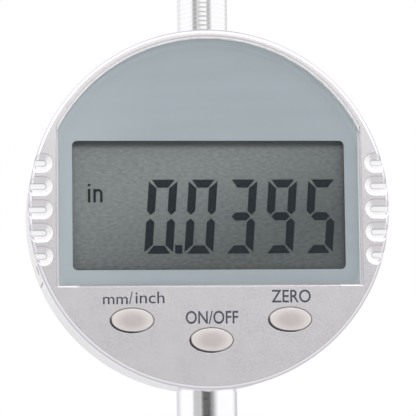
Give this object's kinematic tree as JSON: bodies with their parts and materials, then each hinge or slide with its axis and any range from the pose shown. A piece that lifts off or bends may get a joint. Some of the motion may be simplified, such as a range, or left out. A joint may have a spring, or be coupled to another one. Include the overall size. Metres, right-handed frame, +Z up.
{
  "type": "digital dial indicator",
  "caption": "Round electronic gauge head with LCD window, push buttons, finger pockets, a sprung plunger spindle in a plain stem, and a lug back.",
  "frame": {"origin": "on the stem axis at the plane where the stem leaves the case", "axes": "+Z up along the spindle, -Y out of the front face, +X to the right as seen from the front"},
  "size_m": [0.056, 0.0321, 0.1163],
  "materials": {
    "satin_bezel": "satin face, polished rim",
    "clear_lens": "clear",
    "grey_mask": "printed blue-grey film",
    "lcd_glass": "grey-green display",
    "lcd_ink": "dark segments",
    "black_plastic": "moulded",
    "dark_rubber": "matte",
    "board_green": "solder mask",
    "nickel_steel": "plated",
    "button_plastic": "pale grey, moulded",
    "cast_case": "die cast, painted",
    "chrome": "polished",
    "bush_brass": "turned",
    "copper_strip": "etched laminate",
    "contact_brass": "sprung leaf",
    "drawer_plastic": "moulded, painted to match the case"
  },
  "bodies": {
    "case": {"front_bezel": "satin_bezel", "window_lens": "clear_lens", "window_mask": "grey_mask", "lcd_cell": "lcd_glass", "lcd_digits": "lcd_ink", "lcd_frame": "black_plastic", "zebra_upper": "dark_rubber", "zebra_lower": "dark_rubber", "main_board": "board_green", "main_chip": "black_plastic", "crystal": "nickel_steel", "inch_switch": "black_plastic", "power_switch": "black_plastic", "zero_switch": "black_plastic", "case_seal": "dark_rubber", "rear_case": "cast_case", "case_screw_1": "nickel_steel", "case_screw_2": "nickel_steel", "case_screw_3": "nickel_steel", "case_screw_4": "nickel_steel", "lug_back": "cast_case", "back_screw_1": "nickel_steel", "back_screw_2": "nickel_steel", "back_screw_3": "nickel_steel", "back_screw_4": "nickel_steel", "stem": "chrome", "stem_bush_low": "bush_brass", "stem_bush_high": "bush_brass", "stem_wiper": "dark_rubber", "top_bush": "bush_brass", "dust_cap": "chrome", "guide_rod": "nickel_steel", "return_spring": "nickel_steel", "contact_plus": "contact_brass", "contact_minus": "contact_brass", "data_port": "black_plastic"},
    "spindle_train": {"spindle": "nickel_steel", "carrier": "black_plastic", "clamp_screw": "nickel_steel", "scale_strip": "copper_strip", "contact_holder": "nickel_steel", "contact_ball": "nickel_steel"},
    "inch_key": {"inch_button": "button_plastic"},
    "power_key": {"power_button": "button_plastic"},
    "zero_key": {"zero_button": "button_plastic"},
    "drawer": {"battery_drawer": "drawer_plastic", "coin_cell": "nickel_steel"},
    "plug": {"port_plug": "dark_rubber"}
  },
  "joints": [
    {"name": "spindle_slide", "type": "slide", "parent": "case", "child": "spindle_train", "axis": [0, 0, 1], "range_m": [0, 0.0127], "stiffness_N_per_m": 25, "springref_m": -0.02, "deforming": ["return_spring"]},
    {"name": "inch_press", "type": "slide", "parent": "case", "child": "inch_key", "axis": [0, 1, 0], "range_m": [0, 0.0005], "stiffness_N_per_m": 400, "springref_m": -0.0005},
    {"name": "power_press", "type": "slide", "parent": "case", "child": "power_key", "axis": [0, 1, 0], "range_m": [0, 0.0005], "stiffness_N_per_m": 400, "springref_m": -0.0005},
    {"name": "zero_press", "type": "slide", "parent": "case", "child": "zero_key", "axis": [0, 1, 0], "range_m": [0, 0.0005], "stiffness_N_per_m": 400, "springref_m": -0.0005},
    {"name": "drawer_slide", "type": "slide", "parent": "case", "child": "drawer", "axis": [-1, 0, 0], "range_m": [0, 0.024]},
    {"name": "plug_pull", "type": "slide", "parent": "case", "child": "plug", "axis": [1, 0, 0], "range_m": [0, 0.0075]}
  ]
}
